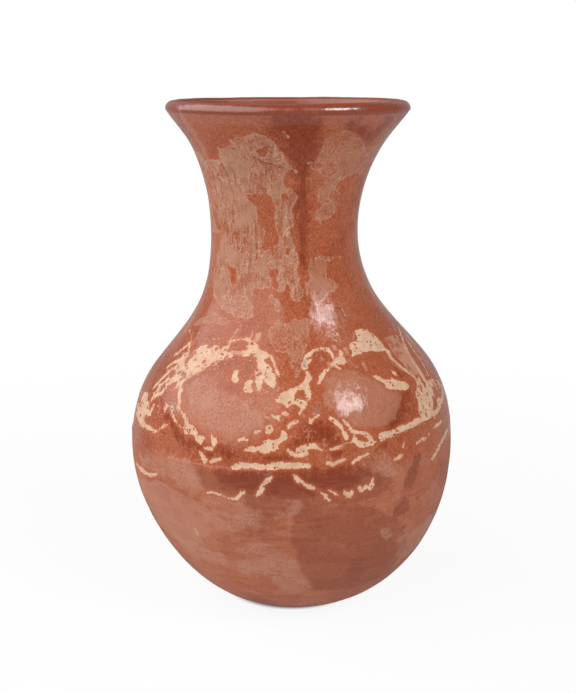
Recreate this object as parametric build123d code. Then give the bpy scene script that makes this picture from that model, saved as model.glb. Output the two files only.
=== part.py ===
from build123d import *
import math
import os

# A tall-necked, coil-built pot: a base pad pressed in a bowl mould, rings of clay coil
# stacked on it, and a rounded lip coil. Each coil is lapped inside the one below it.
# Millimetres, +Z up. The origin is on the ground, straight under the centre of the belly.

# Outer form
height = 290.0
base_radius = 38.5
belly_radius = 95.0
belly_height = 91.0
neck_radius = 42.5
neck_height = 214.0
mouth_radius = 68.2
base_flare = 70.0  # degrees from upright
mouth_flare = 32.0  # degrees from upright

# How far the rings wander sideways from the centre of the belly, as built by hand
base_lean = 2.6
neck_lean = -4.0
mouth_lean = -2.1

# Clay
pad_thickness = 8.0
wall_thickness = 6.0
lip_thickness = 7.6

# Coils, from the pad up, with their widths along the outline
bowl_coil_count = 4
belly_coil_count = 3
shoulder_coil_count = 3
neck_coil_count = 3
flare_coil_count = 2
pad_width = 55.0
lip_width = 12.0
lap_angle = 38.0  # degrees from square across the wall
cut_margin = 4.0

# Shares of the way from one named ring to the next: radius, lean, height
low_bowl_shares = (0.807, 0.371, 0.5)
high_belly_shares = (0.202, -0.36, 0.351)
neck_root_shares = (0.82, 0.252, 0.699)
flare_shares = (0.564, 0.87, 0.786)

# The share of the outline that the pad thins over, and each fillet's share of the lip
thinning_share = 0.3
lip_round_share = 0.47

# Rings that each skin of the wall is lofted through
ring_count = 18


def ring_between(start, end, shares):
    """A ring part of the way from one ring to another."""
    steps = zip(start, end, shares)
    return Vector(*[low + (high - low) * share for low, high, share in steps])


def draw_outline():
    """The outer skin's curve, with each ring's radius, lean and height as its X, Y and Z."""
    rise = math.radians(base_flare)
    flare = math.radians(mouth_flare)
    lip_radius = lip_thickness / 2
    base = Vector(base_radius, base_lean, 0)
    belly = Vector(belly_radius, 0, belly_height)
    neck = Vector(neck_radius, neck_lean, neck_height)
    # The curve ends where the rounded lip begins, short of its widest and highest points
    mouth = Vector(
        mouth_radius - lip_radius * (1 - math.sin(flare) - math.cos(flare)),
        mouth_lean,
        height - lip_radius * (1 + math.sin(flare) - math.cos(flare)),
    )
    return Spline(
        base,
        ring_between(base, belly, low_bowl_shares),
        belly,
        ring_between(belly, neck, high_belly_shares),
        ring_between(belly, neck, neck_root_shares),
        neck,
        ring_between(neck, mouth, flare_shares),
        mouth,
        tangents=[(math.sin(rise), 0, math.cos(rise)), (math.sin(flare), 0, math.cos(flare))],
    )


def thickness_at(share):
    """Thick at the pad, even up the wall and a little thicker at the lip."""
    near_pad = max(0, 1 - share / thinning_share) ** 2
    near_lip = share**2
    pad_extra = (pad_thickness - wall_thickness) * near_pad
    lip_extra = (lip_thickness - wall_thickness) * near_lip
    return wall_thickness + pad_extra + lip_extra


def outward_at(outline, share):
    """The direction square to the outer skin, as a change of radius and height."""
    along = outline % share
    return Vector(along.Z, 0, -along.X).normalized()


def make_skin(rings):
    """A solid lofted through rings of given radius, lean and height."""
    return loft([Pos(ring.Y, 0, ring.Z) * Circle(ring.X) for ring in rings])


def make_wall(outline):
    """The wall of the whole pot, cut square across at the lip."""
    shares = [step / (ring_count - 1) for step in range(ring_count)]
    outer_rings = [outline @ share for share in shares]
    inner_rings = [outline @ share - outward_at(outline, share) * thickness_at(share) for share in shares]
    past_lip = (outline % 1) * (lip_thickness + cut_margin)
    outer_rings.append(outer_rings[-1] + past_lip)
    inner_rings.append(inner_rings[-1] + past_lip)
    wall = make_skin(outer_rings) - make_skin(inner_rings)
    return wall & space_below(outline, 1, 0)


def space_below(outline, share, lap):
    """All the space under a joint, which crosses the wall with its outer end raised by the lap."""
    ring = outline @ share
    outward = outward_at(outline, share)
    thickness = thickness_at(share)
    middle = ring - outward * thickness / 2
    across = outward.rotate(Axis.Y, -lap) * (thickness + cut_margin)
    inner_end = middle - across
    outer_end = middle + across
    reach = belly_radius + thickness + cut_margin
    section = Polyline(
        (0, -cut_margin),
        (reach, -cut_margin),
        (reach, outer_end.Z),
        (outer_end.X, outer_end.Z),
        (inner_end.X, inner_end.Z),
        (0, inner_end.Z),
        close=True,
    )
    return Pos(ring.Y, 0, 0) * revolve(Plane.XZ * make_face(section), Axis.Z)


def name_joints(outline):
    """Each coil's name with the share of the outline where it ends."""
    counts = {
        "bowl_coil": bowl_coil_count,
        "belly_coil": belly_coil_count,
        "shoulder_coil": shoulder_coil_count,
        "neck_coil": neck_coil_count,
        "flare_coil": flare_coil_count,
    }
    coil_names = [f"{name}_{number + 1}" for name, count in counts.items() for number in range(count)]
    coil_width = (outline.length - pad_width - lip_width) / len(coil_names)
    ends = [pad_width + coil_width * number for number in range(len(coil_names) + 1)]
    return [(name, end / outline.length) for name, end in zip(["base_pad"] + coil_names, ends)]


def round_lip(coil):
    """Fillets along the lip's two top edges, which meet over the middle of the clay."""
    top_edges = coil.edges().filter_by(lambda edge: edge.is_closed).sort_by(Axis.Z)[-2:]
    return fillet(top_edges, lip_thickness * lip_round_share)


def write_node(name, shape):
    """One file for each piece."""
    export_step(shape, f"parts/{name}.step")
    print(name, round(shape.volume), shape.is_valid)


os.makedirs("parts", exist_ok=True)
outline = draw_outline()
rest = make_wall(outline)
for name, share in name_joints(outline):
    below = space_below(outline, share, lap_angle)
    write_node(name, rest & below)
    rest = rest - below
write_node("lip_coil", round_lip(rest))
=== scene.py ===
import math
from types import SimpleNamespace
import bpy
import numpy as np
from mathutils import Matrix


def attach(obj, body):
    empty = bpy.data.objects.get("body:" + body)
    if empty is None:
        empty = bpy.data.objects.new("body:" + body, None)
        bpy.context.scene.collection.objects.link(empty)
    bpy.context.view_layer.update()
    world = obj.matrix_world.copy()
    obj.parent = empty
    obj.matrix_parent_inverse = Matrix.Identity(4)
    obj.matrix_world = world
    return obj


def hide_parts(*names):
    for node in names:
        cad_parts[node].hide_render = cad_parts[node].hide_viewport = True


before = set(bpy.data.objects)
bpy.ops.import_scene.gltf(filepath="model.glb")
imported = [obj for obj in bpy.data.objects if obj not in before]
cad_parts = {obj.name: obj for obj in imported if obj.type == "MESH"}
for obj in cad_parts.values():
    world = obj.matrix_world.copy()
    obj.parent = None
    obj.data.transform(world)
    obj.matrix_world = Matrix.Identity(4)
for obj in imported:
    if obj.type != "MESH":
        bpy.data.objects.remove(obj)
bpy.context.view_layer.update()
print("frame loaded with", len(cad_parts), "clay pieces")

millimetres = 1000  # in a metre

# The photograph's viewpoint, in metres and degrees, with its lens in millimetres and its
# picture in pixels
view = {
    "place": (-0.0021, -0.650, 0.3095),
    "pitch": 13.93,
    "lens": 70.79,
    "sensor": 36.0,
    "pictureWidth": 576,
    "pictureHeight": 693,
    "depths": (0.50, 0.72, 1101),  # from where to where a pixel's ray looks for the wall, in steps
}


def addObject(name, data):
    thing = bpy.data.objects.new(name, data)
    bpy.context.scene.collection.objects.link(thing)
    return thing


def setCamera():
    camera = addObject("camera", bpy.data.cameras.new("camera"))
    camera.location = view["place"]
    camera.rotation_euler = (math.radians(90 - view["pitch"]), 0, 0)
    camera.data.sensor_fit = "HORIZONTAL"
    camera.data.sensor_width = view["sensor"]
    camera.data.lens = view["lens"]
    bpy.context.scene.camera = camera


setCamera()
print("camera placed")

# The pot's outer form and its coils, in metres. Flares are in degrees from upright, and the
# laps' angle is in degrees from square across the wall.
pot = {
    "height": 0.290,
    "baseRadius": 0.0385,
    "bellyRadius": 0.095,
    "bellyHeight": 0.091,
    "neckRadius": 0.0425,
    "neckHeight": 0.214,
    "mouthRadius": 0.0682,
    "baseFlare": 70.0,
    "mouthFlare": 32.0,
    "baseLean": 0.0026,
    "neckLean": -0.0040,
    "mouthLean": -0.0021,
    "padThickness": 0.008,
    "wallThickness": 0.006,
    "lipThickness": 0.0076,
    "padWidth": 0.055,
    "lipWidth": 0.012,
    "lapAngle": 38.0,
    # shares of the way from one ring to the next: radius, lean, height
    "lowBowlShares": (0.807, 0.371, 0.5),
    "highBellyShares": (0.202, -0.36, 0.351),
    "neckRootShares": (0.82, 0.252, 0.699),
    "flareShares": (0.564, 0.87, 0.786),
    "thinningShare": 0.3,
}
coilGroups = {"bowl_coil": 4, "belly_coil": 3, "shoulder_coil": 3, "neck_coil": 3, "flare_coil": 2}

# How finely the clay is meshed: points round and along, steps up the wall in metres, and shares
# of the way from the middle to the edge of the pad's underside and of its inside
clayMesh = {
    "outlinePoints": 4000,
    "around": 800,
    "outerStep": 0.00072,
    "innerStep": 0.0035,
    "jointPoints": 3,
    "lipPoints": 24,
    "underShares": (0, 0.15, 0.3, 0.45, 0.6, 0.75, 0.88, 0.96),
    "floorShares": (0.9, 0.75, 0.6, 0.45, 0.3, 0.15, 0),
    "mergeDistance": 0.000002,
}


def smoothLine(points, startSlope, endSlope, samples):
    # a clamped cubic line through the points, spaced by their chords
    points = np.array(points, float)
    gaps = np.linalg.norm(np.diff(points, axis=0), axis=1)
    last = len(points) - 1
    weights, wanted = np.zeros((last + 1, last + 1)), np.zeros_like(points)
    weights[0, 0] = weights[last, last] = 1
    wanted[0], wanted[last] = startSlope, endSlope
    for i in range(1, last):
        before, after = gaps[i - 1], gaps[i]
        weights[i, i - 1 : i + 2] = after, 2 * (before + after), before
        stepIn, stepOut = points[i] - points[i - 1], points[i + 1] - points[i]
        wanted[i] = 3 * (after / before * stepIn + before / after * stepOut)
    slopes = np.linalg.solve(weights, wanted)
    knots = np.append(0, np.cumsum(gaps))
    along = np.linspace(0, knots[-1], samples)
    i = np.clip(np.searchsorted(knots, along, side="right") - 1, 0, last - 1)
    gap = gaps[i][:, None]
    t = ((along - knots[i]) / gaps[i])[:, None]
    start = (2 * t**3 - 3 * t**2 + 1) * points[i] + (t**3 - 2 * t**2 + t) * gap * slopes[i]
    return start + (3 * t**2 - 2 * t**3) * points[i + 1] + (t**3 - t**2) * gap * slopes[i + 1]


def drawOutline():
    # rows of radius, lean and height up the outer skin
    rise, flare = math.radians(pot["baseFlare"]), math.radians(pot["mouthFlare"])
    lipRadius = pot["lipThickness"] / 2
    base = np.array([pot["baseRadius"], pot["baseLean"], 0])
    belly = np.array([pot["bellyRadius"], 0, pot["bellyHeight"]])
    neck = np.array([pot["neckRadius"], pot["neckLean"], pot["neckHeight"]])
    mouth = np.array([
        pot["mouthRadius"] - lipRadius * (1 - math.sin(flare) - math.cos(flare)),
        pot["mouthLean"],
        pot["height"] - lipRadius * (1 + math.sin(flare) - math.cos(flare)),
    ])
    rings = [
        base,
        base + (belly - base) * pot["lowBowlShares"],
        belly,
        belly + (neck - belly) * pot["highBellyShares"],
        belly + (neck - belly) * pot["neckRootShares"],
        neck,
        neck + (mouth - neck) * pot["flareShares"],
        mouth,
    ]
    ends = (math.sin(rise), 0, math.cos(rise)), (math.sin(flare), 0, math.cos(flare))
    return smoothLine(rings, *ends, clayMesh["outlinePoints"])


outline = drawOutline()
outlineArc = np.append(0, np.cumsum(np.linalg.norm(np.diff(outline, axis=0), axis=1)))
outlineLength = outlineArc[-1]
outlineSlope = np.gradient(outline, outlineArc, axis=0)


def ringAt(arc):
    # radius, lean and height of the outer skin at a distance up the outline
    return np.stack([np.interp(arc, outlineArc, outline[:, k]) for k in range(3)], axis=-1)


def leanAt(arc):
    return np.interp(arc, outlineArc, outline[:, 1])


def outwardAt(arc):
    # the direction square to the skin, as radius, lean and height
    slope = np.stack([np.interp(arc, outlineArc, outlineSlope[:, k]) for k in (0, 2)], axis=-1)
    slope /= np.linalg.norm(slope, axis=-1, keepdims=True)
    return np.stack([slope[..., 1], np.zeros_like(slope[..., 0]), -slope[..., 0]], axis=-1)


def thicknessAt(arc):
    share = arc / outlineLength
    nearPad = np.maximum(0, 1 - share / pot["thinningShare"]) ** 2
    wall = pot["wallThickness"]
    return wall + (pot["padThickness"] - wall) * nearPad + (pot["lipThickness"] - wall) * share**2


def innerAt(arc):
    return ringAt(arc) - outwardAt(arc) * thicknessAt(arc)[..., None]


def sectionOf(startArc, endArc, isPad, isLip):
    # one coil's section: rows of ring, outward direction, distance up the wall and skin,
    # which is 1 outside, 0 underneath or in a joint, and -1 inside
    slant = math.tan(math.radians(pot["lapAngle"])) / 2
    low = 0.0 if isPad else startArc + thicknessAt(startArc) * slant
    lowInner = 0.0 if isPad else startArc - thicknessAt(startArc) * slant
    high = endArc - pot["lipThickness"] / 2 if isLip else endArc + thicknessAt(endArc) * slant
    highInner = high if isLip else endArc - thicknessAt(endArc) * slant
    outer = np.linspace(low, high, round((high - low) / clayMesh["outerStep"]))
    inner = np.linspace(highInner, lowInner, max(4, round((high - low) / clayMesh["innerStep"])))
    rows = []

    def addRow(ring, direction, arc, skin):
        rows.append((*ring, *direction, arc, skin))

    def addJoint(start, end, arc):
        for share in np.linspace(0, 1, clayMesh["jointPoints"] + 2)[1:-1]:
            addRow(start + (end - start) * share, np.zeros(3), arc, 0)

    if isPad:
        foot = ringAt(0.0)
        for share in clayMesh["underShares"]:
            addRow(foot * (share, 1, 0), np.zeros(3), -foot[0] * (1 - share), 0)
    for arc in outer:
        addRow(ringAt(arc), outwardAt(arc), arc, 1)
    if isLip:
        out = outwardAt(high)
        middle = ringAt(high) - out * thicknessAt(high) / 2
        along = np.array([-out[2], 0, out[0]])
        for turn in np.linspace(0, math.pi, clayMesh["lipPoints"] + 1)[1:-1]:
            direction = out * math.cos(turn) + along * math.sin(turn)
            arc = high + turn * pot["lipThickness"] / 2
            addRow(middle + direction * thicknessAt(high) / 2, direction, arc, 1)
    else:
        addJoint(ringAt(high), innerAt(highInner), high)
    for arc in inner:
        addRow(innerAt(arc), -outwardAt(arc), arc, -1)
    if isPad:
        floor = innerAt(0.0)
        for share in clayMesh["floorShares"]:
            addRow(floor * (share, 1, 1), (0, 0, 1), -floor[0] * (1 - share), -1)
    else:
        addJoint(innerAt(lowInner), ringAt(low), low)
    return np.array(rows, float)


class Wire:
    # a node's output, which adds, subtracts, multiplies and divides like a number
    def __init__(self, socket):
        self.socket = socket

    def __add__(self, other):
        return maths("ADD", self, other)

    def __sub__(self, other):
        return maths("SUBTRACT", self, other)

    def __mul__(self, other):
        return maths("MULTIPLY", self, other)

    def __truediv__(self, other):
        return maths("DIVIDE", self, other)


def addNode(kind, inputs=None, output=0, tree=None, **settings):
    # a node in the tree of the wires that go into it; gives the output asked for
    inputs = inputs or {}
    tree = tree or next(value.socket.id_data for value in inputs.values() if isinstance(value, Wire))
    node = tree.nodes.new(kind)
    for name, value in settings.items():
        setattr(node, name, value)
    for key, value in inputs.items():
        if isinstance(value, Wire):
            tree.links.new(value.socket, node.inputs[key])
        else:
            node.inputs[key].default_value = value
    return Wire(node.outputs[output])


def outputsOf(node):
    return {socket.name: Wire(socket) for socket in node.outputs}


def maths(operation, first, second=0.0):
    return addNode("ShaderNodeMath", {0: first, 1: second}, operation=operation)


def larger(first, second):
    return maths("MAXIMUM", first, second)


def smaller(first, second):
    return maths("MINIMUM", first, second)


def vectors(operation, first, second=(0, 0, 0)):
    return addNode("ShaderNodeVectorMath", {0: first, 1: second}, operation=operation)


def scaled(vector, amount):
    return addNode("ShaderNodeVectorMath", {0: vector, "Scale": amount}, operation="SCALE")


def makeRingTree():
    # sweeps a coil's section, whose points hold radius, lean and height, round the pot
    tree = bpy.data.node_groups.new("clayRing", "GeometryNodeTree")
    for name, kind in (
        ("Section", "Geometry"), ("Around", "Int"), ("Closed", "Int"), ("Dent Size", "Float"),
        ("Dent Depth", "Float"), ("Lump Size", "Float"), ("Lump Depth", "Float"), ("Seed", "Float"),
        ("Clay", "Material"),
    ):
        tree.interface.new_socket(name, in_out="INPUT", socket_type="NodeSocket" + kind)
    tree.interface.new_socket("Coil", in_out="OUTPUT", socket_type="NodeSocketGeometry")
    given = outputsOf(tree.nodes.new("NodeGroupInput"))
    section, around = given["Section"], given["Around"]
    count = addNode("GeometryNodeAttributeDomainSize", {"Geometry": section}, "Point Count")
    rows = count + given["Closed"]
    mesh = addNode("GeometryNodeMeshGrid", {"Vertices X": around + 1.0, "Vertices Y": rows}, "Mesh")
    index = addNode("GeometryNodeInputIndex", tree=tree)
    column = maths("FLOOR", (index + 0.5) / rows)
    row = maths("MODULO", index - column * rows, count)
    turn = column * math.tau / around
    cosine, sine = maths("COSINE", turn), maths("SINE", turn)

    def fromSection(value, kind):
        inputs = {"Geometry": section, "Value": value, "Index": row}
        return addNode("GeometryNodeSampleIndex", inputs, "Value", data_type=kind)

    def stored(name, kind):
        value = addNode("GeometryNodeInputNamedAttribute", {"Name": name}, "Attribute", tree, data_type=kind)
        return fromSection(value, kind)

    def swept(sampled):
        parts = outputsOf(addNode("ShaderNodeSeparateXYZ", {0: sampled}).socket.node)
        x = parts["X"] * cosine + parts["Y"]
        return addNode("ShaderNodeCombineXYZ", {"X": x, "Y": parts["X"] * sine, "Z": parts["Z"]})

    def unevenness(kind):
        inputs = {"Vector": place, "W": given["Seed"], "Detail": 1.0}
        inputs["Scale"] = maths("DIVIDE", 1.0, given[kind + " Size"])
        noise = addNode("ShaderNodeTexNoise", inputs, noise_dimensions="4D")
        return (noise - 0.5) * (given[kind + " Depth"] * 2.0)

    outward = swept(stored("outward", "FLOAT_VECTOR"))
    place = swept(fromSection(addNode("GeometryNodeInputPosition", tree=tree), "FLOAT_VECTOR"))
    push = scaled(outward, unevenness("Dent") + unevenness("Lump"))
    for name, kind, value in (
        ("arc", "FLOAT", stored("arc", "FLOAT")),
        ("skin", "FLOAT", stored("skin", "FLOAT")),
        ("outward", "FLOAT_VECTOR", outward),
    ):
        inputs = {"Geometry": mesh, "Name": name, "Value": value}
        mesh = addNode("GeometryNodeStoreNamedAttribute", inputs, data_type=kind, domain="POINT")
    for kind, inputs in (
        ("SetPosition", {"Position": vectors("ADD", place, push)}),
        ("MergeByDistance", {"Distance": clayMesh["mergeDistance"]}),
        ("SetShadeSmooth", {}),
        ("RealizeInstances", {}),
        ("SetMaterial", {"Material": given["Clay"]}),
    ):
        mesh = addNode("GeometryNode" + kind, {"Geometry": mesh, **inputs})
    tree.links.new(mesh.socket, tree.nodes.new("NodeGroupOutput").inputs["Coil"])
    return tree


# Unevenness left by the hands: broad dents and smaller lumps, in metres
handWork = {"Dent Size": 0.055, "Dent Depth": 0.0007, "Lump Size": 0.016, "Lump Depth": 0.0002, "Seed": 4.0}
ringTree = makeRingTree()


def sweepCoil(name, section, closed, clay):
    mesh = bpy.data.meshes.new(name + "Section")
    mesh.from_pydata(section[:, :3].tolist(), [], [])
    for field, values in (("outward", section[:, 3:6]), ("arc", section[:, 6]), ("skin", section[:, 7])):
        writeField(mesh, field, values)
    maker = addObject(name + "Maker", mesh)
    modifier = maker.modifiers.new("clayRing", "NODES")
    modifier.node_group = ringTree
    values = dict(handWork, Around=clayMesh["around"], Closed=int(closed), Clay=clay)
    for item in ringTree.interface.items_tree:
        if item.in_out == "INPUT" and item.name in values:
            modifier[item.identifier] = values[item.name]
    bpy.context.view_layer.update()
    baked = bpy.data.meshes.new_from_object(maker.evaluated_get(bpy.context.evaluated_depsgraph_get()))
    bpy.data.objects.remove(maker)
    return addObject(name, baked)


def writeField(mesh, name, values):
    # keeps numbers, or rows of three, with a mesh's points
    kind, key = ("FLOAT_VECTOR", "vector") if values.ndim == 2 else ("FLOAT", "value")
    mesh.attributes.new(name, kind, "POINT").data.foreach_set(key, values.astype(np.float32).ravel())


def readField(mesh, name):
    field = mesh.attributes[name]
    isVector = field.data_type == "FLOAT_VECTOR"
    values = np.zeros(len(field.data) * (3 if isVector else 1), np.float32)
    field.data.foreach_get("vector" if isVector else "value", values)
    return values.astype(float).reshape((-1, 3) if isVector else -1)


def listCoils():
    # each piece's name, and how far up the outline it begins and ends
    names = [f"{group}_{number + 1}" for group, count in coilGroups.items() for number in range(count)]
    width = (outlineLength - pot["padWidth"] - pot["lipWidth"]) / len(names)
    ends = [pot["padWidth"] + width * number for number in range(len(names) + 1)]
    return list(zip(["base_pad"] + names + ["lip_coil"], [0.0] + ends, ends + [outlineLength]))


# The rim coil stands proud of the flare below it, in metres up the outline and out of it
rimRoll = {"arc": 0.3283, "proud": 0.0005, "lip": 0.0009, "top": 0.002}

# The clay's colours, of which stain and the painted shades of the bowl and of the foot are
# multiplied with what lies under them, and how rough and how shiny its surface is
clayColours = {
    "red": (0.42, 0.102, 0.038, 1),
    "dark": (0.245, 0.036, 0.010, 1),
    "pale": (0.54, 0.200, 0.110, 1),
    "tan": (0.50, 0.245, 0.150, 1),
    "tanShade": (0.41, 0.170, 0.095, 1),
    "cream": (0.78, 0.53, 0.36, 1),
    "creamShade": (0.66, 0.39, 0.25, 1),
    "salmon": (0.66, 0.32, 0.22, 1),
    "flush": (0.48, 0.105, 0.036, 1),
    "grey": (0.26, 0.20, 0.18, 1),
    "scratch": (0.12, 0.045, 0.03, 1),
    "stain": (0.70, 0.62, 0.58, 1),
    "dust": (0.52, 0.255, 0.170, 1),
    "raw": (0.36, 0.17, 0.11, 1),
    # a painted shade, multiplied over the bowl below the ridge and on its right
    "paintedBowlShade": (0.78, 0.70, 0.66, 1),
    # foot: a painted contact shade, multiplied over the wall just above the base
    "foot": (0.35, 0.30, 0.28, 1),
    "curl": (0.74, 0.44, 0.32, 1),
}
clayRoughness = {"lip": 0.21, "burnished": 0.12, "brushed": 0.5, "worn": 0.5, "raw": 0.85}
clayShine = {"lip": 0.95, "burnished": 0.4}

# The clay's noises: how fine each is, how detailed and how stretched
clayGrains = {
    "burnishLines": (900, 4, (1, 1, 0.08)),
    "brushLines": (560, 5, (0.16, 0.16, 1)),
    "blotches": (30, 5),
    "mottle": (260, 6),
    "speckle": (950, 2),
    "crumbs": (190, 8),
    "cloud": (85, 8),
    "flakes": (75, 10, (0.6, 0.6, 1)),
    "dullPatches": (190, 7, (1, 1, 0.4)),
    "facets": (120, 3, (1, 1, 0.3)),
}
# How ragged a layer's edge is, broadly and finely, where it fades from and to, in millimetres
# outside its marks, and how strong it is
layerLooks = {
    "paintedBowlShade": (1.5, 0.5, -1.5, 1.5, 1.0),
    "deep": (4.0, 1.0, -4.0, 3.0, 0.95),
    "dust": (3.2, 1.6, -1.5, 0.8, 0.66),
    "film": (2.6, 0.9, -1.2, 0.8, 0.42),
    "stain": (1.4, 0.5, -1.4, 1.0, 1.0),
    "salmon": (0.9, 0.5, -0.5, 0.4, 0.75),
    "grey": (0.9, 0.4, -1.0, 0.6, 0.55),
    "scratch": (0.2, 0.25, -0.1, 0.2, 0.6),
}
# Distances up the wall between which the surface changes, in metres
clayBands = {
    "bowlTop": (0.119, 0.127),
    "innerSlip": (0.300, 0.322),
    "innerSlipEnd": (0.304, 0.310),
    # foot: the band up the wall that the painted contact shade darkens
    "foot": (0.002, 0.018),
}


def mixColours(factor, first, second, blend="MIX"):
    inputs = {0: factor, 6: first, 7: second}
    return addNode("ShaderNodeMix", inputs, 2, data_type="RGBA", blend_type=blend)


def mixNumbers(factor, first, second):
    return addNode("ShaderNodeMix", {0: factor, 2: first, 3: second}, data_type="FLOAT")


def ramp(value, start, end, low=0.0, high=1.0):
    # a smooth change from low to high as the value goes from start to end
    inputs = {"Value": value, "From Min": start, "From Max": end, "To Min": low, "To Max": high}
    return addNode("ShaderNodeMapRange", inputs, interpolation_type="SMOOTHSTEP")


def grain(place, scale, detail, stretch=(1, 1, 1)):
    spot = addNode("ShaderNodeMapping", {"Vector": place, "Scale": stretch})
    return addNode("ShaderNodeTexNoise", {"Vector": spot, "Scale": scale, "Detail": detail})


def coat(see, amount, colour, blend="MIX"):
    # lays a colour over what is there; MULTIPLY keeps what lies under it
    colour = clayColours[colour] if isinstance(colour, str) else colour
    see.colour = mixColours(amount, see.colour, colour, blend)


def readSurface(tree):
    # the wires that the clay's layers share, and the colour as it is built up
    place = addNode("ShaderNodeTexCoord", output="Object", tree=tree)
    see = SimpleNamespace(tree=tree, place=place, colour=clayColours["dark"])
    for name, settings in clayGrains.items():
        setattr(see, name, grain(place, *settings))
    see.arc, see.skin, see.lace = (fieldWire(see, name) for name in ("arc", "skin", "lace"))
    see.low = ramp(see.arc, *clayBands["bowlTop"], 1.0, 0.0)
    see.inside = ramp(see.skin, -0.4, 0.4, 1.0, 0.0)
    see.strokes = mixNumbers(see.low, see.burnishLines, see.brushLines)
    bend = addNode("ShaderNodeTexNoise", {"Vector": place, "Scale": 400, "Detail": 2}, 1)
    see.bend = vectors("SUBTRACT", bend, (0.5, 0.5, 0.5))
    return see


def fieldWire(see, name):
    return addNode("ShaderNodeAttribute", {}, "Fac", see.tree, attribute_name=name)


def spots(see, size, radius):
    # millimetres outside round spots of a radius, strewn a size apart
    bent = vectors("ADD", see.place, scaled(see.bend, size * 0.0005))
    gap = addNode("ShaderNodeTexVoronoi", {"Vector": bent, "Scale": millimetres / size}, "Distance")
    return gap * size - radius


def ragged(see, field, coarse, fine):
    # a field of millimetres with its edge broken up
    broad, small = (see.crumbs - 0.5) * (coarse * 4), (see.speckle - 0.5) * (fine * 4)
    return fieldWire(see, field) + (broad + small)


def layer(see, name):
    coarse, fine, start, end, strength = layerLooks[name]
    return ramp(ragged(see, name, coarse, fine), start, end, strength, 0.0)


def paintSlip(see):
    # red slip in strokes and blotches, coarser and paler on the bowl, where a painted shade
    # darkens and browns it below the ridge and on its right
    tone = see.strokes * 0.3 + see.blotches * 0.7
    coat(see, ramp(tone, 0.36, 0.50, 0.45, 1.0), "red")
    coat(see, ramp(tone, 0.52, 0.66, 0.0, 0.35), "pale")
    coat(see, ramp(see.mottle, 0.55, 0.72, 0.0, 0.3), "pale")
    coat(see, ramp(see.mottle, 0.28, 0.42, 0.35, 0.0), "dark")
    grit = mixNumbers(see.low * 0.35, see.speckle, see.brushLines)
    strength = ramp(see.low, 0.0, 1.0, 0.45, 0.55)
    coat(see, ramp(grit, 0.34, 0.48, strength, 0.0), "dark")
    coat(see, ramp(grit, 0.52, 0.66, 0.0, strength), "pale")
    coat(see, see.low * 0.24, "pale")
    # the painted shade of the bowl, below the ridge and on its right
    paintedBowlShade = layer(see, "paintedBowlShade")
    coat(see, paintedBowlShade, "paintedBowlShade", "MULTIPLY")
    flaked = ramp(see.flakes, 0.535, 0.555, 0.0, 0.35)
    coat(see, flaked * (see.low * ramp(paintedBowlShade, 0.0, 1.0, 1.0, 0.4)), "pale")


def wearSlip(see):
    # deeper red where the slip is thick and at the rim, partly a painted shade down the front of
    # the neck, and dust where it is worn
    deep = layer(see, "deep") * ramp(see.strokes, 0.40, 0.60, 1.0, 0.7)
    rim = ramp(see.arc, rimRoll["arc"] - 0.0006, rimRoll["arc"] + 0.0004)
    rim = larger(rim, see.inside * ramp(see.arc, *clayBands["innerSlip"])) * 0.9
    coat(see, larger(deep, rim), "dark")
    lines = (see.strokes - 0.5) * ramp(see.low, 0.0, 1.0, 0.0, 0.2)
    dustGrain = see.cloud * 0.5 + see.speckle * 0.5 + lines
    see.dust = layer(see, "dust") * ramp(dustGrain, 0.40, 0.60, 0.3, 1.0)
    coat(see, see.dust, "dust")


def bareTan(see):
    # tan ground where the slip has worn through, edged and veined by its curled flakes, and the
    # film and stains that lie over both
    faint = ragged(see, "faintTan", 1.8, 0.8)
    field = smaller(ragged(see, "tan", 1.8, 0.8), faint)
    patch = ramp(field, -0.3, 0.3, 1.0, 0.0) * ramp(faint, -0.3, 0.3, 0.6, 1.0)
    kept = see.burnishLines * 0.3 + see.cloud * 0.45 + see.speckle * 0.25
    see.tan = patch * ramp(kept, 0.42, 0.52, 0.3, 0.95)
    tone = see.burnishLines * 0.5 + see.crumbs * 0.5
    shade = clayColours["tanShade"]
    colour = mixColours(ramp(tone, 0.40, 0.56), shade, clayColours["tan"])
    coat(see, see.tan, mixColours(ramp(see.speckle, 0.35, 0.55, 0.5, 0.0), colour, shade))
    rim = ramp(maths("ABSOLUTE", field), 0.0, 0.4, 0.55, 0.0)
    curls = ramp(maths("ABSOLUTE", see.cloud - 0.5), 0.0, 0.012, 0.7, 0.0)
    coat(see, larger(rim, curls * see.tan) * ramp(see.speckle, 0.38, 0.52), "curl")
    coat(see, layer(see, "film"), "dust")
    coat(see, layer(see, "stain"), "stain", "MULTIPLY")


def bareCream(see):
    # cream clay bared in patches, and between round flakes of slip in the lacy parts
    flakes = ramp(see.lace, -6.0, 1.0, 1.9, 3.0) - spots(see, 4.6, 1.1)
    lacy = larger(see.lace + 1.0, flakes) + (see.mottle - 0.5) * 3.0
    field = smaller(ragged(see, "cream", 0.9, 0.6), lacy) - 0.12
    pits = spots(see, 2.4, 0.72) + ramp(see.crumbs, 0.44, 0.54, 0.0, 0.8)
    islands = spots(see, 5.2, 1.3) + ramp(see.lace, -1.5, 1.0, 0.0, 4.0)
    field = larger(larger(field, pits * -1.0), islands * -1.0)
    coat(see, ramp(field, 0.3, 2.0, 0.6, 0.0), "flush")
    rings = ramp(maths("ABSOLUTE", spots(see, 5.5, 2.1)), 0.12, 0.38, 1.0, 0.0)
    rings = rings * ramp(see.crumbs, 0.46, 0.56, 0.0, 0.45)
    coat(see, rings * ramp(fieldWire(see, "rings"), -1.0, 2.0, 1.0, 0.0), "salmon")
    flecks = ramp(see.speckle, 0.66, 0.70) * ramp(see.lace, 0.0, 5.0, 1.0, 0.0)
    see.cream = larger(ramp(field, -0.12, 0.12, 1.0, 0.0), flecks)
    tone = ramp(see.mottle * 0.6 + see.speckle * 0.4, 0.40, 0.64)
    coat(see, see.cream, mixColours(tone, clayColours["creamShade"], clayColours["cream"]))


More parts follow.
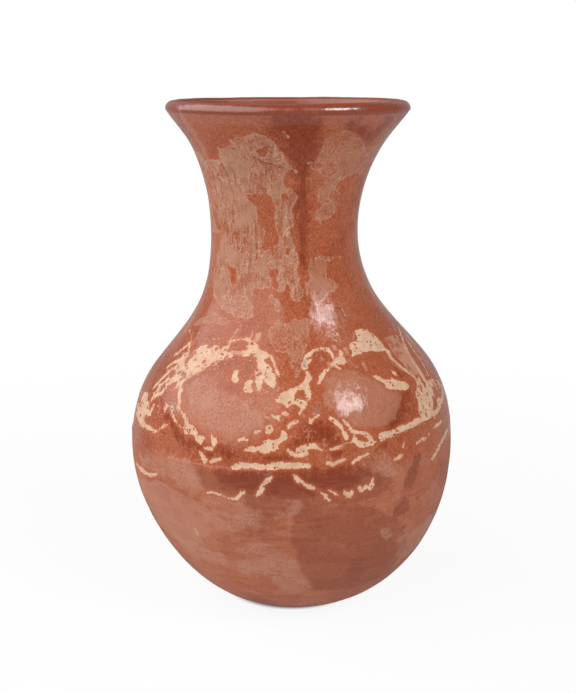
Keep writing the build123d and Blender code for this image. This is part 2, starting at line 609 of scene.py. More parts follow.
def markDetails(see):
    # chips, specks and scratches, a painted shade under the ledge's left end, and a painted
    # contact shade that darkens the wall just above the foot
    coat(see, layer(see, "salmon") * ramp(see.crumbs, 0.40, 0.50, 0.25, 1.0), "salmon")
    # grey specks, and a painted shade under the ledge's left end
    coat(see, layer(see, "grey"), "grey")
    see.scratch = layer(see, "scratch")
    coat(see, see.scratch, "scratch")
    # a painted contact shade on the wall just above the foot
    coat(see, ramp(see.arc, *clayBands["foot"], 0.9, 0.0), "foot", "MULTIPLY")


def bareClay(see):
    # raw clay deep inside, underneath and in the joints, where no slip was laid
    scraped = see.inside * ramp(see.arc + see.mottle * 0.008, *clayBands["innerSlipEnd"], 1.0, 0.0)
    jointed = ramp(see.skin, -0.9, -0.5) * ramp(see.skin, 0.5, 0.9, 1.0, 0.0)
    see.bare = larger(scraped, jointed)
    coat(see, see.bare, mixColours(see.mottle, clayColours["raw"], clayColours["tanShade"]))


def polishClay(see, polish):
    # how rough the surface is: burnished, then duller where strokes, wear and the rim's top are
    lipTop = outlineLength + rimRoll["top"]
    innerEdge = larger(ramp(see.arc, lipTop, lipTop + 0.002, 0.0, 0.8), see.inside * 0.6)
    streaks = ramp(see.strokes, 0.4, 0.62, 0.0, 0.22)
    dull = ramp(see.dullPatches, 0.52, 0.58, 0.0, 0.3)
    roughness = mixNumbers(see.low, polish, clayRoughness["brushed"])
    for amount in (streaks, dull, see.dust, see.tan, see.cream, innerEdge):
        roughness = mixNumbers(amount, roughness, clayRoughness["worn"])
    return mixNumbers(see.bare, roughness, clayRoughness["raw"])


def raiseClay(see):
    # the finest relief: strokes, specks, worn patches and the polishing stone's facets
    height = see.strokes * 0.8 + see.speckle * 0.25 - larger(see.cream, see.scratch) * 0.4
    height = height + see.facets * ramp(see.low, 0.0, 1.0, 8.0, 2.0)
    return addNode("ShaderNodeBump", {"Height": height, "Strength": 0.6, "Distance": 0.00012})


def makeClay(name, polish, shine):
    clay = bpy.data.materials.new(name)
    clay.use_nodes = True
    see = readSurface(clay.node_tree)
    for layOn in (paintSlip, wearSlip, bareTan, bareCream, markDetails, bareClay):
        layOn(see)
    shader = see.tree.nodes["Principled BSDF"].inputs
    shader["Specular IOR Level"].default_value = shine
    for key, wire in (
        ("Base Color", see.colour),
        ("Roughness", polishClay(see, polish)),
        ("Normal", raiseClay(see)),
    ):
        see.tree.links.new(wire.socket, shader[key])
    return clay


slippedClay = makeClay("slippedClay", clayRoughness["burnished"], clayShine["burnished"])
burnishedLip = makeClay("burnishedLip", clayRoughness["lip"], clayShine["lip"])

pieces = {}
for name, start, end in listCoils():
    isPad, isLip = name == "base_pad", name == "lip_coil"
    clay = burnishedLip if isLip else slippedClay
    pieces[name] = sweepCoil(name + "Clay", sectionOf(start, end, isPad, isLip), not isPad, clay)
print("coils swept:", sum(len(piece.data.vertices) for piece in pieces.values()), "points")


# Marks in the slip, by the photograph's pixels. A row of x,y,width is a stroke and a ring of x,y
# is a patch's outline. A slash stands between like marks under one name.
creamMarks = {
    "leftArc": "170,385 178,380 184,377 190,372 197,368 209,366 213,362 220,360 232,357 234,354 227,352 "
    "222,351 219,347 214,346 211,349 207,345 200,347 198,352 193,357 184,362 181,366 178,372 171,379",
    "arcUnder": "183,381,2 190,377,2.5 197,372,2.5 204,368,2",
    "leftStrands": "168,367,2 173,363,3 184,359,3 189,352,3 190,345,2.5 188,341,1.5 / 175,355,2.5 "
    "180,352,2.5 184,348,3.5 188,345,2 / 190,331,2 192,336,1 191,342,1.5 / 179,366,4 171,370,3 166,376,3 "
    "160,381,3 154,388,2 / 170,376,2 166,381,2 161,386,2.5 159,389,2 / 169,383,3 165,388,3 162,393,4 "
    "157,395,4.5 152,399,3 150,404,2",
    "innerLines": "184,379,3 181,384,3.5 181,390,4 179,396,4 180,402,4 178,407,3 181,411,2 186,418,2 "
    "187,425,4 / 172,407,3 173,413,2.5 176,421,2 182,428,2",
    "innerBlob": "185,424 190,425 196,428 198,433 196.5,436.5 193,434 185,434 184,431",
    "leftEdge": "145,392 148.5,393 148,399 149.5,403 147,408 149.5,412 145,416 144,420 147,424 153,428 "
    "161,431 154,432 147,429 141,425 137,416 137,411 141,407 142,400",
    "leftBits": "159,429,2 164,426,3 169,424,1.5",
    "topLoop": "228,347,3 231,341,2.5 240,339,1.8 249,339.5,2 256,346,4",
    "falls": "241,352 247,350 252,349 249,343 253,340 257,344 261,351 266,353 270,356 267,357 265,362 "
    "268,366 266,371 264,375 265,380 261,389 258,389.5 256,384 257,378 255,375 259,371 256,361 257,357 "
    "250,356 243,356.5 / 267,371 271,373 274,374 276,378 276,385 273,388 269,386 265,382 / 271,357,2 "
    "274,363,3 276,369,2 279,375,2",
    "drops": "236,370 239,371 238,376 239,381 236.5,384 233,383 231.5,380 233,376 / 247,382 252.5,380 "
    "251.5,386 253.5,391 251,393 244,390 245,386",
    "dots": "196.5,438 200,436 204,436 205,439 201,443.5 198,441 / 211,434 213,437 217,438 218,442 "
    "214,447 212,443 / 239,440,3 243,438.5,3 247,440,2 / 255,432,2.5 259,431,3.5 / 266,426 270,425 "
    "272,428 272,431 270,433.5 265.5,433 / 270,415 276,415 281,416 282,419 280.5,422.5 278,422 273,418 / "
    "282,413.5 285,411.5 288.5,414 288,417 284.5,416 / 288.5,428,2 290.5,424,2.5 296,422,3 / 206,448,2.5 "
    "212,449,3 / 309,418,2 311,421,3 314,418,3 317.5,415.5,2",
    "lowDots": "200.5,452,2 203,456,3.5 205,461,4 / 211,462,2 215,460,3.5 220,458.5,2.5",
    "bigCentre": "241,450 252,447 263,445 264,442 267,439.5 273,440 278,439 281,436 282,431.5 285,432 "
    "289,438.5 282,443 279,446 280,449.5 271,451.5 268,454 265,454 262,452 258,451 254,453 251,451",
    "bars": "233,467,3.5 240,465,6 249,465.5,5 256,466,6 262,467,5 / 268,467,5 276,466,6 285,465.5,5.5 "
    "294,466,6 302,465,5 308,465.5,4",
    "cluster": "274,401 279,398.5 280,394 284,391 293,388.5 298,387.5 303,383 306,376 305,372.5 308,372 "
    "311.5,379 309,383 309,389 311,394 310,399.5 308,399 304,391 297,390 293,395 295,400 301,400.5 "
    "306,402 306,405 302,411 300,415.5 299,413 301,408 295,404 290,405 287,407.5 284,404 277,401.5",
    "ringPatch": "302,369 302,363 304,357 308,353 313,350 319,349 313,352.5 311,356 310,361 307,365 "
    "306,370.5",
    "ringLine": "316,350,2 322,348.5,1.5 328,350,2.5 331,353,3 333,358,2",
    "cross": "335,358 339,355 340,350.5 342,352 342,356 345,358 346.5,363 343,364 338,363.5 331,368 "
    "325,374 321,382 319,385 317.5,383 321,374 330,366 / 328,363,2 333,364,3 341,370,1.5",
    "bigRight": "354,331 358,330 363,329.5 368,331 373,334 377,339 382,344 388.5,352.5 378,351 366,351.5 "
    "361,352 354,357 351.5,356 352,352 349,345 352,342 356,341 357,337",
    "curvedBand": "372,376 376,375 384,379 390,380.5 391,377.5 393,380 405,381.5 409,386 405,389.5 "
    "401,390 397,388.5 391,389 386,388 384,384 375,379 / 391,370.5,2 393,373,3 396,375,1.5",
    "tail": "388,352,5 391,358,3.5 400,366,3 410,374,3 415,379,3",
    "streaks": "398,328,2.5 402,339,4 407,351,4 414,363,4 420,373,5 425,381,5 / 400,326,1.2 408,338,1.5 "
    "416,350,1.2 422,360,1 / 396,336,1.5 403,346,2 409,356,2 414,366,1.5 / 404,336,1.5 413,350,2 "
    "421,361,2 428,375,2",
    "sidePatch": "415,392 417,388 415,379 419,378 421,383 425,385 428,380 433,379 433,390 432,397 433,410 "
    "436,413 428,420 424,421 421,418 419,410 418,402",
    "rightBranch": "436,380,3 441,386,4 443,393,4 441,402,4 438,409,5 433,415,5",
    "longBar": "379,433 385,431 391,431 403,425 411,422 418,417 427,420 421,423 413,428 399,433 392,437 "
    "385,439 380,442 378,438",
    "fork": "330,418,1.5 335,421,3 340,427,4.5 344,433,5 346,437,4 / 343,420,2 348,427,3 352,431,3.5 "
    "363,433,3 371,439,4 / 353,436 357,439 361,441.5 367,442 370,439 377.5,441 372,444 361,448 357,447 "
    "353,443 345,443.5 351,441.5",
    "lowBits": "298,450,4 307,447,5 314,446,4 322,450,1.5 / 288,451,3 295,455,4 301,455,4.5 307,453,3 / "
    "330,450,1.5 338,447,2.5 344,445,1.5 / 328,463,4 333,463.5,3.5 345,459,2.5 / 353,462,3 358,458,3.5 "
    "368,454,1.5 / 394,459.5,2.5 398,458,4 402,455,2 / 404,442,1.5 403,447,2.5",
    "rightBits": "417,443,2 421,440,2 427,438,1.5 429,434,1.5 / 433,428,1.5 437,425,3.5 441,422,2 / "
    "432,459,3 436,453,4 439,446,4 443,438,4 447,430,2",
    "leftLow": "137,464,3 143,471,5 150,475,4 157,474,2",
    "belowRidge": "272,477,2 268,480,4 263,484,3 261,488,3 / 257,495,3 260,492,5 263,488,3 / 294,476,2 "
    "299,480,3 305,484,2 311,487,4 315,489,2 / 318,490,2 324,495,3 329,500,3 / 329,490,1.5 335,493,2 "
    "341,497,1.5 / 345.5,493,5 349,496,5 351,493,5 / 359,487,3 362,491,3 366,486,3 / 372.5,479,3 "
    "372,484,5 370,488,3",
    "dotted": "203,494,1.2 212,492,1.5 222,495,1.2 232,499,1.5 237,498,3 243,493,3",
}
creamHoles = {
    "inArc": "184,364,2.5 187,362.5,3 / 193,361,1.5 197,359,1.5 / 192,372.5,2 197,369,1.5 / 212,350,1.5 "
    "213.5,356,1.5 / 222,354.5,1.2 227,353,1.2",
    "others": "187.5,427,2.5 188,430.5,2 / 396.5,430,2 397.5,431,2 / 347,426,2 349,431,2 / 288.5,403,2 "
    "290,402,1.5",
    "inFall": "266,360.5,4 269,363.5,3 / 260,370,1.5 261,375,2 / 263.5,380,2.5 264,384,2",
    "inBigRight": "353,344,2.5 354.5,344.5,2.5 / 357,341.5,2 358,342,1.5",
    "inSidePatch": "420.5,386,3 421.5,390.5,3.5 / 421,399,2.5 421.5,401.5,2 / 423.5,406,3 423,409,2 / "
    "426,393,2 426.5,396,1.2 / 429,403,1.5 429.5,406,1.5",
}
laceMarks = {
    "leftBand": "178,358 190,347 200,343 214,341 228,345 234,352 225,362 206,371 192,378 184,384 178,392 "
    "166,396 152,408 148,402 152,390 160,380 169,368",
    "leftEdgeBand": "143,390 151,392 152,404 158,400 170,403 172,410 163,416 154,414 150,422 160,428 "
    "160,433 146,430 138,422 135,412",
    "topRight": "236,346 246,338 258,338 264,350 272,356 279,366 279,388 268,391 254,392 252,372 252,359 "
    "240,359",
    "rightBand": "412,386 424,378 434,376 443,384 446,398 440,412 432,421 420,421 413,396",
}
ringMarks = {
    "underFork": "286,420 300,414 318,412 328,424 342,438 352,448 372,450 368,460 330,466 300,460 282,456 "
    "292,444 288,432",
    "ringField": "300,372 301,358 312,349 330,349 348,346 352,358 346,372 330,378 318,386 314,372",
    "underArc": "186,438 206,434 232,446 240,462 214,468 192,462",
    "medallionRing": "246,404,14 262,408,14",
}
tanMarks = {
    "leftNeck": "217,148 223,150 229,147 232,145 229,140 234,140 240,137 248,134 256,133 264,134 272,142 "
    "276,146 277,150 281,154 286,159 290,165 294,169 284,172 283,180 286,186 293,192 297,197 293,204 "
    "290,209 293,218 293,224 290,229 291,237 296,249 299,262 299,282 302,297 297,301 292,297 289,289 "
    "287,283 284,290 277,291 271,288 254,289 251,296 253,306 252,316 244,319 232,315 222,308 214,296 "
    "213,280 216,262 219,246 220,232 213,231 209,210 204,180 198,160 195,151 200,152 204,159 212,160 "
    "219,159",
    "drip": "271,297,3 275,301,6 277,307,5",
    "square": "305,178 308.5,176 312.5,178.5 312.5,184.5 306,185.5",
    "flecks": "294,170,1.5 297,172,2 / 284,133,3 288,137,3",
}
faintTanMarks = {
    "rightNeck": "309,163 313,164 318,160 321,152 325,140 333,133 344,131 354,134 360,140 366,147 377,146 "
    "372,160 362,172 351,174 346,178 337,183 335,187 340,194 336,206 334,213 326,220 320,223 315,218 "
    "314,211 325,206 330,201 326,199 322,203 319,199 316,190 325,185 324,178 318,172 311,169",
    "rightLow": "310,258 318,256 326,257 334,256 340,258 326,262 324,270 326,278 340,286 328,293 322,300 "
    "317,302 312,300 309,292 308,280",
    "lowLeft": "196,324,5 212,318,8 228,322,5",
    "fan": "280,321 287,326 295,320 307,318.5 309.5,331 307,346 303.5,357 300.5,368 297,376 293,368 "
    "292,357 287,353.5 277.5,350 270,342.5 266.5,333 272,325.5",
}
redIslands = {
    "tall": "245,194 258,193 266,192 272,196 275,202 276,222 279,232 279,242 275,246 276,256 272,256 "
    "270,248 262,250 262,242 264,232 257,224 259,214 254,206 248,200",
    "upper": "257,150 263,146 270,144 271,151 264,158 258,157",
    "small": "281,195 287,194 289,198 286,203 281.5,201",
    "low": "285,247 289,246 291,250 289,256.5 285,254",
    "spot": "250,256,2 252.5,257,3",
    "leftStripe": "212,206 215,210 218,217 221,224 221,230 217,230 213,215",
    "hook": "225,259 229,263 236,268 236,278 235,288 233,289 231.5,283 232,275 227,269",
    "boot": "270,269 277,270 278,274 277,283 277,289 272,287 270,280 266,276",
    "streaks": "233,222,3 236,235,5 238,249,4 / 243,230,3 245,240,4 245,251,2 / 255,240,2 257,252,3 "
    "256,262,1.5",
    "leftFlush": "205,166,4 209,174,5 211,181,3",
    "eyes": "316.5,165,3.5 321.5,166.5,5 / 330,165,3.5 331.5,167,3.5 / 320.5,174,3 322,177,3",
    "squareHole": "308.5,180.5,2 309,181.5,2",
    "rightBlob": "329,264,3 331.5,267.5,3",
    "lowStreaks": "223,292,2 224,304,3 / 236,297,2 235,306,2.5 / 243,300,2 244,312,3",
}
scratchMarks = {
    "cracks": "229,148,0.8 235,149,1.2 241,150.5,1 / 249,156.5,1.2 256,158,1.4 262,162,1.2 270,164,1.4 "
    "279,167,1.2 292,171,1.6",
    "neckScratches": "212,164,0.8 218,174,0.8 222,188,0.7 / 220,162,0.8 227,174,1 230,188,0.7 / "
    "232,169,0.9 236,179,0.8",
    "shoulderCracks": "336,307,1.4 341,309.5,1.8 345,318,1.2 / 326,320,0.9 333,319,1.1 341,319,0.9",
    "upperLines": "154,429,0.8 168,434,1 184,438,0.8 / 378,440,1 400,433,1.2 425,421.5,1 441,412,1",
    "rightPits": "354,268,1 355,273,1.2 353.5,280,0.9",
}
greyMarks = {
    "specks": "314.5,409,5 317.5,411.5,5 / 265,475,4 270,473,3 / 324.5,380,4 328,379,2.5 / 174,402,3 "
    "176,410,4 / 305,361,4 304,366,4 / 375,343,4 379,348,3",
    # a painted shade under the ledge at its left end
    "ridgeShade": "133,430,2 138,437,2.5 143,443,2",
}
salmonMarks = {
    "besideFork": "334,347,5 335,349,4 / 345,349,5 347,354,5 / 353,365,4 357,367,3 / 363,364,4 366,370,3 "
    "/ 321,358,3 323,360,3 / 330,391,2.5 330.5,392.5,2.5 / 354,333,3 353,339,3",
    "upperRight": "386,340,6 396,348,8 402,356,6 408,366,4 / 388,356,4 394,364,4 404,371,3 / 388,314,1.5 "
    "396,327,1.5",
    "rightBand": "384,338 392,335 404,346 414,360 420,374 412,376 402,364 392,352",
    "aboveArc": "213,339,1.5 219,338.5,2 / 190,334,1.5 195,333.5,2 200,333,1",
    "loop": "227,348,2 229,342,2.5 232,338,3 236,332,3 238,329,2 / 236,337,1.5 242,338.5,2 248,339.5,2 "
    "252,337,2.2 252.5,331,2 / 234,321,1.2 239,322,2.2 241,326,1.8 / 256,333 262,331 261,337 258,343 "
    "253,342 255,337",
    "arcJoin": "232,352,5 242,353,5",
    "underDrop": "254,387,2 259,393,2",
    "strips": "405,331,2 417,349,3 427,365,3 436,380,2 / 392,324,2 396,332,3",
    "pinkStreaks": "306,283,2.5 306.8,290,2.5 307,297,2 / 314,291,1.5 314.5,299,2 318,305,2 / 264,417,2 "
    "271,417.5,2",
    "chip": "195,529,4 197,532.5,5.5 198,536,2.5",
    "lipWear": "287,101,1 288,105,1 / 293,102,1 292,108,1.2 / 297,103,0.8 297,109,0.8",
}
stainMarks = {
    "runs": "412,455 422,452 421,460 418,470 414,484 411,490 403,488 405,478 410,467 / 402,496 411,500 "
    "409,510 399,518 392,518 395,508 400,503 / 404,526,4 402,530,4",
}
dustMarks = {
    "leftHaze": "158,450 172,451 190,458 197,470 200,482 200,492 192,493 180,488 170,478 156,474 142,466 "
    "140,456 150,454",
    "pitField": "200,491 222,493 246,494 246,502 232,506 214,508 202,502",
    "orangePatch": "206,508 228,508 246,514 248,528 232,532 214,528 204,520",
    "greyPatch": "240,508 262,510 268,520 258,530 244,526",
    "upperGrey": "288,500 300,499 302,512 292,518 276,520 276,512 286,509",
    "smoothPatch": "240,544 252,541 272,543 277,551 264,557 246,559 238,553",
    "grainField": "232,560 250,558 278,552 292,556 300,566 290,574 262,574 240,572",
    "lowPatch": "268,577 290,572 306,578 312,587 300,594 282,592",
    "rightHaze": "352,452 372,448 386,452 398,462 404,470 392,478 372,474 358,466",
    "rightSpot": "378,530 390,526 393,536 386,540",
    "rightLimb": "398,536 420,526 432,512 436,518 424,540 406,556 392,560",
    "leftLimb": "172,534 190,540 206,548 230,556 228,566 204,560 186,552",
    "medallionLeft": "186,388 192,381 200,378 208,375 213,379 218,384 222,392 230,396 236,392 244,397 "
    "250,400 252,408 262,414 266,424 258,434 240,440 222,436 206,430 194,420 187,408",
}
filmMarks = {
    "flareLeft": "178,110,6 188,126,12 198,141,14 205,156,8",
    "neckFootLeft": "204,290,8 196,312,12 186,330,10",
    "leftBowl": "138,476 168,484 204,504 214,532 196,548 172,538 150,508",
    "medallionRight": "322,384 332,372 346,368 362,374 376,380 392,390 402,396 400,410 388,424 372,430 "
    "352,428 336,416 324,404",
}
deepMarks = {
    # deeper red slip, and partly a painted shade down the front of the neck
    "neckFrontRedAndShade": "296,122,40 302,145,34 303,175,18 303,210,16 304,262,10",
    "belowRidge": "222,477,14 262,484,22 300,484,28 335,480,30 356,480,14",
    "clusterGround": "264,458,8 290,458,8 312,430,20 328,434,20 336,452,14",
    "underArc": "160,396,8 170,416,14 190,448,10 230,452,12",
    "rightGround": "400,374,8 406,392,10 400,408,16 384,440,12",
    "rightRim": "388,120,14 372,140,12 352,124,14",
}
# Where a painted shade darkens the bowl, below the ridge and on its right
bowlShadeMarks = {
    "bowlUpper": "196,468 240,472 300,470 350,466 384,470 394,482 376,498 330,506 292,514 262,516 244,504 "
    "216,492 200,484",
    "bowlRight": "292,497 330,503 372,506 400,520 406,545 388,572 352,588 314,590 302,572 292,540",
}


markMargin = 0.01  # metres past a mark's reach, round its points, that its width stays within


def readMarks(layerMarks):
    # every stroke and patch of a layer, as rows of numbers
    for text in layerMarks.values():
        for mark in text.split("/"):
            yield [tuple(map(float, spot.split(","))) for spot in mark.split()]


def placeOnWall(pixels):
    # where the photograph's pixels land on the wall: turn from the front, distance up, metres a pixel
    pixels = np.array(pixels, float)
    focal = view["lens"] / view["sensor"] * view["pictureWidth"]
    pitch = math.radians(view["pitch"])
    across = (pixels[:, 0] - view["pictureWidth"] / 2) / focal
    down = (pixels[:, 1] - view["pictureHeight"] / 2) / focal
    forward = np.array([0, math.cos(pitch), -math.sin(pitch)])
    up = np.array([0, math.sin(pitch), math.cos(pitch)])
    ray = forward + across[:, None] * np.array([1.0, 0, 0]) - down[:, None] * up
    depth = np.linspace(*view["depths"])
    spots = np.array(view["place"]) + ray[:, None, :] * depth[None, :, None]
    radius, lean = (np.interp(spots[..., 2], outline[:, 2], outline[:, k]) for k in (0, 1))
    outside = np.hypot(spots[..., 0] - lean, spots[..., 1]) - radius
    first = np.where(outside.min(axis=1) < 0, (outside < 0).argmax(axis=1), outside.argmin(axis=1))
    rows = np.arange(len(pixels))
    spot = spots[rows, first]
    turn = np.arctan2(spot[:, 0] - lean[rows, first], -spot[:, 1])
    return turn, np.interp(spot[:, 2], outline[:, 2], outlineArc), depth[first] / focal


def nearestOnLine(u, v, startU, startV, alongU, alongV):
    # the share of the way along a line that lies nearest, and how far off it is
    share = ((u - startU) * alongU + (v - startV) * alongV) / (alongU**2 + alongV**2 + 1e-12)
    share = np.clip(share, 0, 1)
    return share, np.hypot(u - startU - alongU * share, v - startV - alongV * share)


def distanceToStroke(u, v, stroke):
    # distance outside a stroke whose half width changes along it
    nearest = np.full(len(u), 1.0)
    for (startU, startV, startHalf), (endU, endV, endHalf) in zip(stroke[:-1], stroke[1:]):
        share, gap = nearestOnLine(u, v, startU, startV, endU - startU, endV - startV)
        nearest = np.minimum(nearest, gap - startHalf - (endHalf - startHalf) * share)
    return nearest


def distanceToPatch(u, v, ring):
    # distance outside a closed outline, negative inside it
    nearest, inside = np.full(len(u), 1.0), np.zeros(len(u), bool)
    for (startU, startV), (endU, endV) in zip(ring, ring[1:] + ring[:1]):
        alongU, alongV = endU - startU, endV - startV
        nearest = np.minimum(nearest, nearestOnLine(u, v, startU, startV, alongU, alongV)[1])
        crosses = (startV > v) != (endV > v)
        if abs(alongV) > 1e-9:
            inside ^= crosses & (u < startU + alongU * (v - startV) / alongV)
    return np.where(inside, -nearest, nearest)


# The far side, which the photograph doesn't show, wears like the near one: the same kinds of
# mark, turned round and bent a little, in degrees and metres
farSide = {
    "turn": 172.0,
    "rise": 0.004,  # how far marks rise and fall, in waves round the pot
    "waves": 3,
    "bend": 0.007,  # how far they bend sideways, in waves up the pot with a ripple on them
    "climb": 61.0,
    "ripple": 0.4,
    "rippleClimb": 3.1,
    "starts": (0.6, 1.0),  # where the waves up and round begin
    "radius": 0.07,
}


def bothSides(turn, arc):
    # each point seen as a place on the near side, and as one on the far side's bent copy
    bend, climb = farSide["bend"], arc * farSide["climb"]
    upStart, roundStart = farSide["starts"]
    ripple = bend * farSide["ripple"] * np.sin(climb * farSide["rippleClimb"])
    bend = bend * np.sin(climb + upStart) + ripple
    farTurn = np.angle(np.exp(1j * (turn - math.radians(farSide["turn"])))) + bend / farSide["radius"]
    farArc = arc + farSide["rise"] * np.sin(farSide["waves"] * turn + roundStart)
    return (turn, arc), (farTurn, farArc)


def nearMark(value, spots, reach):
    span = reach + markMargin
    return (value > spots.min() - span) & (value < spots.max() + span)


def paintSide(turn, arc, reach, *layers):
    # millimetres outside the nearest mark of a layer, with its holes cut out
    field = np.full(len(turn), reach)
    for cut, layerMarks in enumerate(layers):
        for mark in readMarks(layerMarks):
            spotTurn, spotArc, pixelSize = placeOnWall([spot[:2] for spot in mark])
            middle = ringAt(spotArc.mean())[0]
            u, spotU = turn * middle, spotTurn * middle
            near = nearMark(u, spotU, reach) & nearMark(arc, spotArc, reach)
            if not near.any():
                continue
            if len(mark[0]) == 3:
                half = np.array([spot[2] for spot in mark]) / 2 * pixelSize
                gap = distanceToStroke(u[near], arc[near], list(zip(spotU, spotArc, half)))
            else:
                gap = distanceToPatch(u[near], arc[near], list(zip(spotU, spotArc)))
            field[near] = np.maximum(field[near], -gap) if cut else np.minimum(field[near], gap)
    return field * millimetres


# Each layer of marks: how far its field reaches, how deep it is worn, both in metres, and the
# marks with any holes in them
paintLayers = {
    "cream": (0.006, 0.00012, creamMarks, creamHoles),
    "lace": (0.008, 0.0, laceMarks),
    "rings": (0.006, 0.0, ringMarks),
    "tan": (0.006, 0.00006, tanMarks, redIslands),
    "faintTan": (0.006, 0.00004, faintTanMarks, redIslands),
    "scratch": (0.004, 0.00008, scratchMarks),
    "grey": (0.004, 0.0, greyMarks),
    "salmon": (0.004, 0.00006, salmonMarks),
    "stain": (0.006, 0.0, stainMarks),
    "dust": (0.012, 0.0, dustMarks),
    "film": (0.008, 0.0, filmMarks),
    "deep": (0.012, 0.0, deepMarks),
    "paintedBowlShade": (0.008, 0.0, bowlShadeMarks),
}
# The ledge round the belly, where the bowl left its mould, in metres
ledge = {
    "arc": 0.1278,
    "tilt": 0.0036,
    "proudLeft": 0.0006,
    "proudRight": 0.00015,
    "run": 0.007,
    "lip": 0.0012,
}
# Bulges and hollows left by the hands: pixel, reach and push in metres
handMarks = {
    "leftBulge": ((144, 384), 0.016, 0.0008),
    "leftShoulderBulge": ((192, 305), 0.014, 0.0004),
    "rightShoulderBulge": ((394, 320), 0.014, 0.0005),
    "rightNeckHollow": ((357, 268), 0.014, -0.0009),
    "rightFlareHollow": ((388, 140), 0.014, -0.0003),
    "neckRootBulge": ((326, 294), 0.016, 0.0008),
    "rightBellyBulge": ((345, 428), 0.016, 0.0008),
    "rightFootHollow": ((386, 578), 0.018, -0.0002),
}
reliefFade = 0.012  # metres up from the foot in which this relief sets in
wearEdge = 0.5  # millimetres across a worn mark's edge in which it sinks to its depth


def ledgeAt(turn, arc):
    above = arc - ledge["arc"] - ledge["tilt"] * np.sin(turn)
    step = np.clip(above / ledge["lip"] + 0.5, 0, 1)
    step = step * step * (3 - 2 * step)
    side = 0.5 + 0.5 * np.sin(turn)
    proud = ledge["proudLeft"] * (1 - side) + ledge["proudRight"] * side
    return proud * (1 - step) * np.exp(np.minimum(above, 0) / ledge["run"])


def paintWear(coil):
    mesh = coil.data
    places, arc, skin = (readField(mesh, name) for name in ("position", "arc", "skin"))
    turn = np.arctan2(places[:, 0] - leanAt(arc), -places[:, 1])
    outer = skin > 0.5
    push = np.zeros(len(arc))
    for name, (reach, depth, *layers) in paintLayers.items():
        field = np.full(len(arc), reach * millimetres)
        sides = bothSides(turn[outer], arc[outer])
        field[outer] = np.minimum(*(paintSide(*side, reach, *layers) for side in sides))
        writeField(mesh, name, field)
        push -= depth * np.clip(0.5 - field / wearEdge, 0, 1)
    push += ledgeAt(turn, arc)
    push += rimRoll["proud"] * np.clip((arc - rimRoll["arc"]) / rimRoll["lip"], 0, 1) ** 2
    for pixel, reach, amount in handMarks.values():
        spotTurn, spotArc, _ = placeOnWall([pixel])
        around = np.angle(np.exp(1j * (turn - spotTurn[0]))) * ringAt(spotArc[0])[0]
        push += amount * np.exp(-(around**2 + (arc - spotArc[0]) ** 2) / (2 * reach**2))
    push *= np.clip(arc / reliefFade, 0, 1)
    places += readField(mesh, "outward") * (push * outer)[:, None]
    places[:, 2] = np.maximum(places[:, 2], 0)
    mesh.vertices.foreach_set("co", places.astype(np.float32).ravel())
    mesh.update()


for piece in pieces.values():
    paintWear(piece)
print("wear painted")


def readNumbers(items, key):
    values = np.zeros(len(items), np.int32)
    items.foreach_get(key, values)
    return values


def visibleFaces(mesh, skin, isLip):
    # the corners of the faces on the outer and inner skins, which leaves out the joints
    corners = readNumbers(mesh.loops, "vertex_index")
    starts, totals = readNumbers(mesh.polygons, "loop_start"), readNumbers(mesh.polygons, "loop_total")
    quads = corners[starts[totals == 4][:, None] + np.arange(4)]
    sides = skin[quads]
    kept = np.abs(sides).min(axis=1) > 0.5
    if not isLip:
        kept &= np.abs(sides.sum(axis=1)) > 3.5
    return quads[kept]


def cornerNormals(mesh, places, skin, isLip):
    # each face's normal, as long as the face is large, added up at its corners
    quads = visibleFaces(mesh, skin, isLip)
    across = places[quads[:, 2]] - places[quads[:, 0]]
    along = places[quads[:, 3]] - places[quads[:, 1]]
    faceNormals = np.cross(across, along)
    normals = np.zeros_like(places)
    for corner in range(4):
        np.add.at(normals, quads[:, corner], faceNormals)
    return normals


def borderRings(arc, skin):
    # where each skin of a coil begins and ends: side, distance up the wall and points
    for side, farthest in ((1, np.min), (1, np.max), (-1, np.min), (-1, np.max)):
        rows = np.where(skin == side)[0]
        value = farthest(arc[rows])
        yield side, value, rows[arc[rows] == value]


def shareNormals():
    # coils meet without a crease: points that lie together get one normal
    keys, spots = {}, {}
    for name, piece in pieces.items():
        mesh = piece.data
        places, arc, skin = (readField(mesh, field) for field in ("position", "arc", "skin"))
        turn = np.arctan2(places[:, 1], places[:, 0] - leanAt(arc)) / math.tau * clayMesh["around"]
        column = np.round(turn).astype(int) % clayMesh["around"]
        normals = cornerNormals(mesh, places, skin, name == "lip_coil")
        spots[name] = normals, arc, skin, column
        for side, value, ring in borderRings(arc, skin):
            total = np.zeros((clayMesh["around"], 3))
            total[column[ring]] = normals[ring]
            key = (side, round(float(value), 7))
            keys[key] = keys.get(key, 0) + total
    for name, (normals, arc, skin, column) in spots.items():
        for (side, value), total in keys.items():
            ring = np.where((skin == side) & (np.abs(arc - value) < 1e-6))[0]
            normals[ring] = total[column[ring]]
        length = np.linalg.norm(normals, axis=1, keepdims=True)
        normals = np.where(length > 0, normals / np.maximum(length, 1e-20), 0)
        pieces[name].data.normals_split_custom_set_from_vertices(normals.tolist())


shareNormals()
print("coils smoothed into one another")

# Lights in degrees round from the camera and up from level, in metres and watts
lights = {
    "rightSoftbox": {"turn": 50, "rise": 40, "distance": 1.3, "size": (0.5, 0.38), "power": 8.5},
    "leftSoftbox": {"turn": -74, "rise": 40, "distance": 1.3, "size": (2.7, 1.45), "power": 26.0},
}
room = {
    "lightsAim": (0, 0, 0.15),
    "worldStrength": 0.10,
    "frontShade": 0.15,  # what polished clay sees of the room on the camera's side
    "backGlow": 0.4,  # and on the far side
    "turnToBack": (0.55, 1.0),  # between which it goes from one to the other, as a ray's Y
    "floorColour": (0.95, 0.95, 0.95, 1),
    "floorSpan": 60.0,
    "underGlow": 0.2,
    "footReach": (0.039, 0.044),
    "nearGlow": 0.92,
    "farReach": (0.2, 0.6),
    "mirroredGlow": 0.4,  # the floor's glow, as polished clay sees it
}


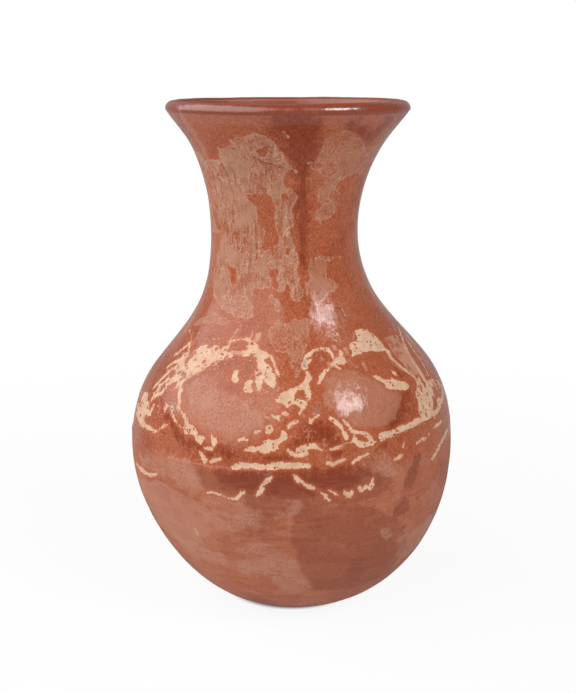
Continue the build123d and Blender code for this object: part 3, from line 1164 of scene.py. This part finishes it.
def setLights():
    for name, light in lights.items():
        lamp = bpy.data.lights.new(name, "AREA")
        lamp.shape = "RECTANGLE"
        lamp.size, lamp.size_y = light["size"]
        lamp.energy = light["power"]
        turn, rise = math.radians(light["turn"]), math.radians(light["rise"])
        away = (math.sin(turn) * math.cos(rise), -math.cos(turn) * math.cos(rise), math.sin(rise))
        holder = addObject(name, lamp)
        holder.location = np.array(room["lightsAim"]) + np.array(away) * light["distance"]
        holder.rotation_euler = (math.radians(90) - rise, 0, turn)


def seenWhite(path, mirrored):
    # 1 for what the camera sees straight or through glass, and another share for reflections
    return larger(larger(path["Is Camera Ray"], mirrored), path["Is Transmission Ray"])


def setWorld():
    world = bpy.data.worlds.new("paleRoom")
    bpy.context.scene.world = world
    world.use_nodes = True
    tree = world.node_tree
    path = outputsOf(tree.nodes.new("ShaderNodeLightPath"))
    toward = addNode("ShaderNodeTexCoord", output="Object", tree=tree)
    back = addNode("ShaderNodeSeparateXYZ", {0: toward}, "Y")
    mirrored = path["Is Glossy Ray"] * ramp(back, *room["turnToBack"], room["frontShade"], room["backGlow"])
    inputs = {"Value": seenWhite(path, mirrored), "To Min": room["worldStrength"], "To Max": 1.0}
    background = tree.nodes["Background"].inputs
    background["Color"].default_value = (1, 1, 1, 1)
    tree.links.new(addNode("ShaderNodeMapRange", inputs).socket, background["Strength"])


def setFloor():
    span = room["floorSpan"]
    corners = [(-span, -span, 0), (span, -span, 0), (span, span, 0), (-span, span, 0)]
    mesh = bpy.data.meshes.new("floor")
    mesh.from_pydata(corners, [], [(0, 1, 2, 3)])
    floor = addObject("floor", mesh)
    paper = bpy.data.materials.new("floorPaper")
    paper.use_nodes = True
    tree = paper.node_tree
    tree.nodes.clear()
    path = outputsOf(tree.nodes.new("ShaderNodeLightPath"))
    matt = addNode("ShaderNodeBsdfDiffuse", {"Color": room["floorColour"]}, tree=tree)
    strength = mixNumbers(path["Is Glossy Ray"], 1.0, room["mirroredGlow"])
    glow = addNode("ShaderNodeEmission", {"Color": (1, 1, 1, 1), "Strength": strength})
    place = addNode("ShaderNodeTexCoord", output="Object", tree=tree)
    away = addNode("ShaderNodeVectorMath", {0: place}, "Value", operation="LENGTH")
    underfoot = ramp(away, *room["footReach"], room["underGlow"], 1.0)
    share = underfoot * ramp(away, *room["farReach"], room["nearGlow"], 1.0)
    share = seenWhite(path, path["Is Glossy Ray"]) * share
    mixed = addNode("ShaderNodeMixShader", {0: share, 1: matt, 2: glow})
    tree.links.new(mixed.socket, tree.nodes.new("ShaderNodeOutputMaterial").inputs["Surface"])
    mesh.materials.append(paper)


setLights()
setWorld()
setFloor()
bpy.context.scene.view_settings.view_transform = "Standard"
print("lights and room set")

for name, piece in pieces.items():
    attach(piece, "root")
    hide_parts(name)
    "burnished_lip" if name == "lip_coil" else "slipped_clay"
